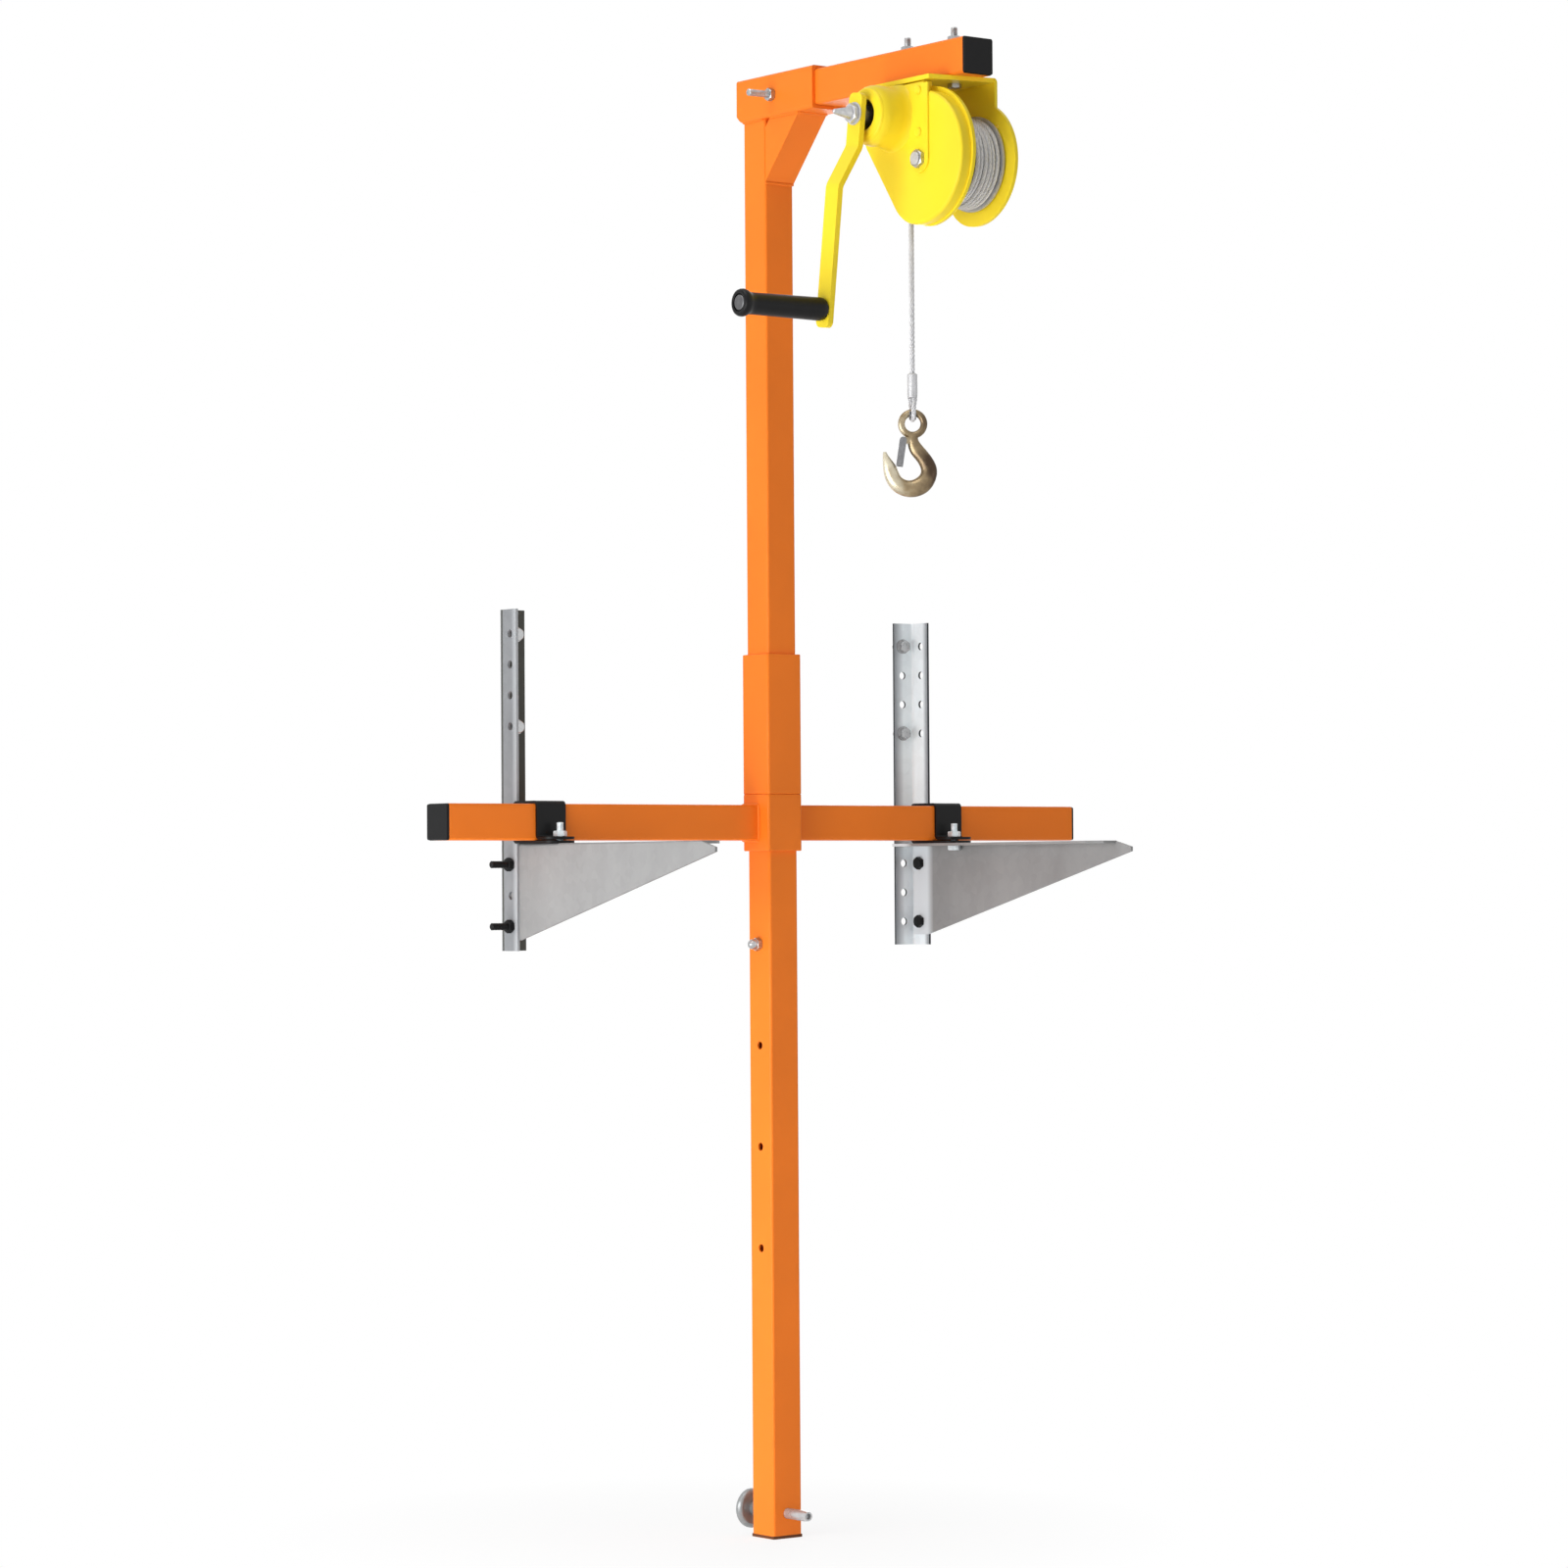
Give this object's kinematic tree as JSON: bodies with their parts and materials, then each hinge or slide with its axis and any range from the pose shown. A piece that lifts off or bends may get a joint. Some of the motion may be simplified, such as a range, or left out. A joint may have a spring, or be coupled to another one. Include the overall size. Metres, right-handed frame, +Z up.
{
  "type": "air conditioner hoist",
  "caption": "Wall-mounted lifting mast with bracket-held cross arms, a short boom, a hand winch with crank and brake, and a rope with a latched hook.",
  "frame": {"origin": "middle of the four free wall holes of the two angle bars, on the wall plane", "axes": "+X along the wall to the right as seen from the front, +Y into the wall, +Z up along the mast"},
  "size_m": [0.888, 0.4865, 1.6585],
  "materials": {
    "orange_paint": "gloss powder coat",
    "yellow_paint": "gloss enamel",
    "galvanised": "galvanised sheet",
    "zinc": "zinc plated",
    "bright_steel": "polished",
    "black_steel": "black coated",
    "black_plastic": "moulded",
    "grip_plastic": "moulded grip",
    "dark_steel": "oiled steel",
    "bronze": "bearing bronze",
    "lining": "brake lining",
    "wire_rope": "stranded wire",
    "pressed_alloy": "pressed",
    "hook_gold": "yellow passivated forging"
  },
  "bodies": {
    "wall_brackets": {"left_upright": "galvanised", "right_upright": "galvanised", "left_bracket_arm": "galvanised", "right_bracket_arm": "galvanised", "bracket_bolts": "black_steel", "wall_bolts": "zinc", "wall_washers": "zinc", "left_clamp": "black_steel", "right_clamp": "black_steel", "clamp_bolts": "zinc"},
    "cross_arm": {"collar": "orange_paint", "left_arm": "orange_paint", "right_arm": "orange_paint", "arm_end_caps": "black_plastic"},
    "lower_mast": {"lower_post": "orange_paint", "joint_sleeve": "orange_paint", "stop_bolt": "zinc", "foot_bush": "zinc"},
    "foot": {"foot_rod": "zinc", "foot_pad": "bright_steel"},
    "upper_mast": {"upper_post": "orange_paint", "head_block": "orange_paint", "brace": "orange_paint", "boom": "orange_paint", "boom_cap": "black_plastic", "head_bolt": "zinc", "winch_frame": "yellow_paint", "winch_bolts": "zinc", "gear_cover": "yellow_paint", "cover_strap": "yellow_paint", "cover_rivets": "zinc", "drum_axle": "zinc", "axle_nut": "zinc", "pinion_bushes": "bronze", "pawl_pin": "zinc", "pawl_spring": "zinc", "rope_drop": "wire_rope"},
    "drum_body": {"drum": "dark_steel", "drum_bushes": "bronze", "drive_gear": "dark_steel", "rope_core": "wire_rope", "rope_winding": "wire_rope"},
    "crank_body": {"pinion_shaft": "dark_steel", "brake_hub": "dark_steel", "friction_discs": "lining", "ratchet_wheel": "dark_steel", "crank_hub": "black_steel", "crank_arm": "yellow_paint", "crank_nut": "zinc", "grip_bolt": "zinc"},
    "grip_body": {"grip": "grip_plastic"},
    "pawl_body": {"pawl": "dark_steel"},
    "rope_end": {"ferrule": "pressed_alloy", "rope_eye": "wire_rope", "thimble": "pressed_alloy"},
    "hook_body": {"hook": "hook_gold", "latch_pin": "zinc"},
    "latch_body": {"latch": "zinc"}
  },
  "joints": [
    {"name": "arm_traverse", "type": "slide", "parent": "wall_brackets", "child": "cross_arm", "axis": [1, 0, 0], "range_m": [-0.1, 0.1]},
    {"name": "mast_lift", "type": "slide", "parent": "cross_arm", "child": "lower_mast", "axis": [0, 0, 1], "range_m": [0, 0.095]},
    {"name": "foot_adjust", "type": "slide", "parent": "lower_mast", "child": "foot", "axis": [0, 1, 0], "range_m": [-0.013, 0.022]},
    {"name": "mast_draw", "type": "slide", "parent": "lower_mast", "child": "upper_mast", "axis": [0, 0, 1], "range_m": [0, 0.075]},
    {"name": "drum_turn", "type": "hinge", "parent": "upper_mast", "child": "drum_body", "pos_m": [0.03, -0.401, 0.551], "axis": [1, 0, 0], "range_deg": [0, 200]},
    {"name": "crank_turn", "type": "hinge", "parent": "upper_mast", "child": "crank_body", "pos_m": [0.03, -0.3548, 0.60089], "axis": [1, 0, 0], "range_deg": [-934, 1]},
    {"name": "grip_spin", "type": "hinge", "parent": "crank_body", "child": "grip_body", "pos_m": [-0.15, -0.32719, 0.3912], "axis": [1, 0, 0], "continuous": true},
    {"name": "pawl_lift", "type": "hinge", "parent": "upper_mast", "child": "pawl_body", "pos_m": [0, -0.33897, 0.61799], "axis": [-1, 0, 0], "range_deg": [0, 18], "stiffness_Nm_per_rad": 0.02, "springref_deg": -28.65},
    {"name": "hook_lift", "type": "slide", "parent": "upper_mast", "child": "rope_end", "axis": [0, 0, 1], "range_m": [0, 0.165], "deforming": ["rope_drop"]},
    {"name": "hook_swing", "type": "hinge", "parent": "rope_end", "child": "hook_body", "pos_m": [0.008, -0.354, 0.27525], "axis": [-0.6074, -0.7944, 0], "range_deg": [-35, 35]},
    {"name": "latch_open", "type": "hinge", "parent": "hook_body", "child": "latch_body", "pos_m": [-0.00034, -0.34762, 0.253], "axis": [-0.6074, -0.7944, 0], "range_deg": [0, 30], "stiffness_Nm_per_rad": 0.03, "springref_deg": -22.92}
  ],
  "couplings": [
    {"joint": "crank_turn", "follows": "drum_turn", "ratio": -4.6667},
    {"joint": "hook_lift", "follows": "drum_turn", "m_per_rad": 0.047}
  ]
}
